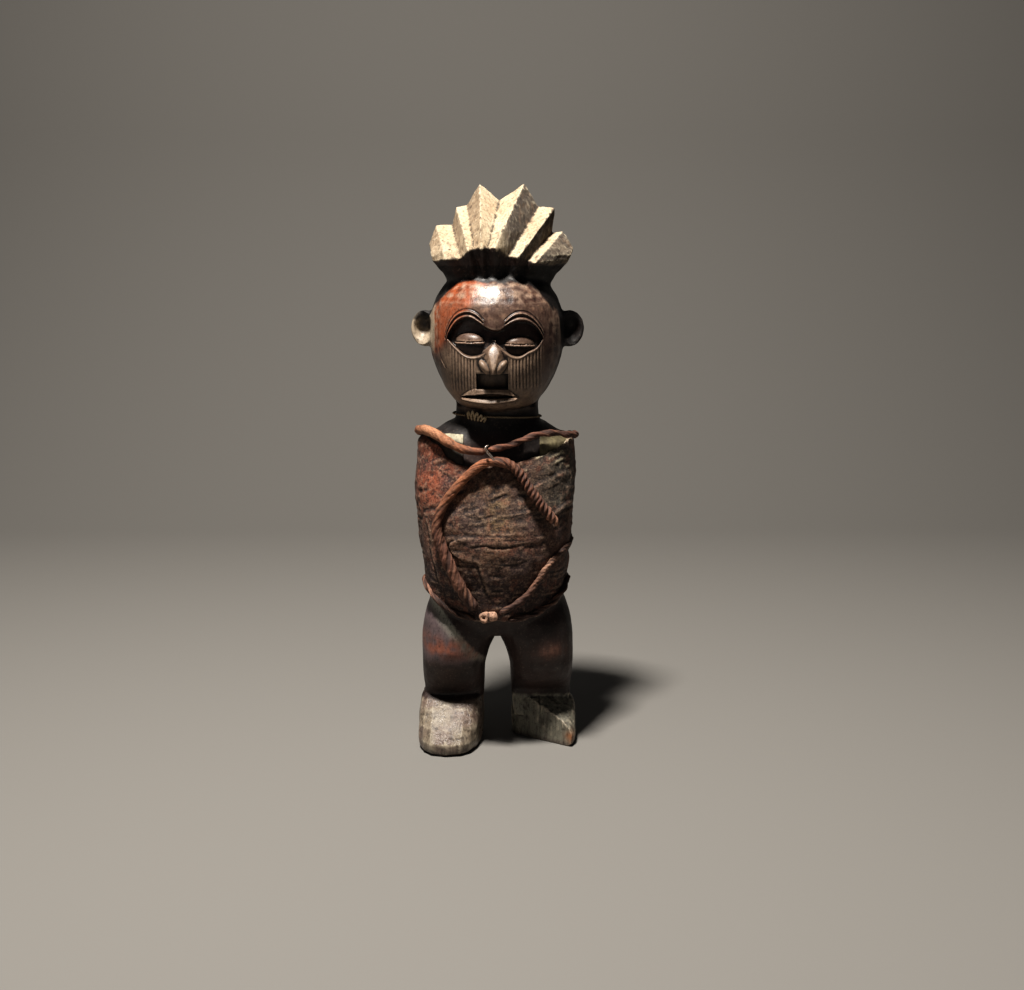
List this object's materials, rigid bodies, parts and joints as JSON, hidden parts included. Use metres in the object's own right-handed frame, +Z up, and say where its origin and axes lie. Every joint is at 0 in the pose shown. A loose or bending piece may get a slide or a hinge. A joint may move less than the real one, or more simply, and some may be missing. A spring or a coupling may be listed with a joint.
{
  "type": "power figure",
  "caption": "Standing carved wooden figure with a fan of pleated hair, its torso wrapped in crusted hide and bound with twisted hide cords; it stands on its own feet.",
  "frame": {"origin": "on the ground under the middle of the figure's outline, seen from above", "axes": "+Z up from the soles to the crest, -Y the way the figure faces, +X towards the viewer's right when looking at its face"},
  "size_m": [0.156, 0.1326, 0.5],
  "materials": {
    "carved_wood": "dark oiled hardwood, glossy with handling on the head, bare and pale on the crest and feet",
    "crusted_hide": "stiff hide under a rough red-brown crust of earth",
    "pale_hide": "pale matt rawhide with a torn edge",
    "hide_cord": "twisted hide strips, dry and fibrous",
    "iron_wire": "dark forged wire, worn bright on top",
    "plant_fibre": "thin twisted plant fibre"
  },
  "bodies": {
    "root": {"carved_figure": "carved_wood", "hide_wrap": "crusted_hide", "inner_hide": "pale_hide", "collar_cord": "hide_cord", "chest_cord": "hide_cord", "side_cord": "hide_cord", "hip_cord": "hide_cord", "belly_knot": "hide_cord", "chest_pin": "iron_wire", "neck_string": "plant_fibre"}
  },
  "joints": []
}
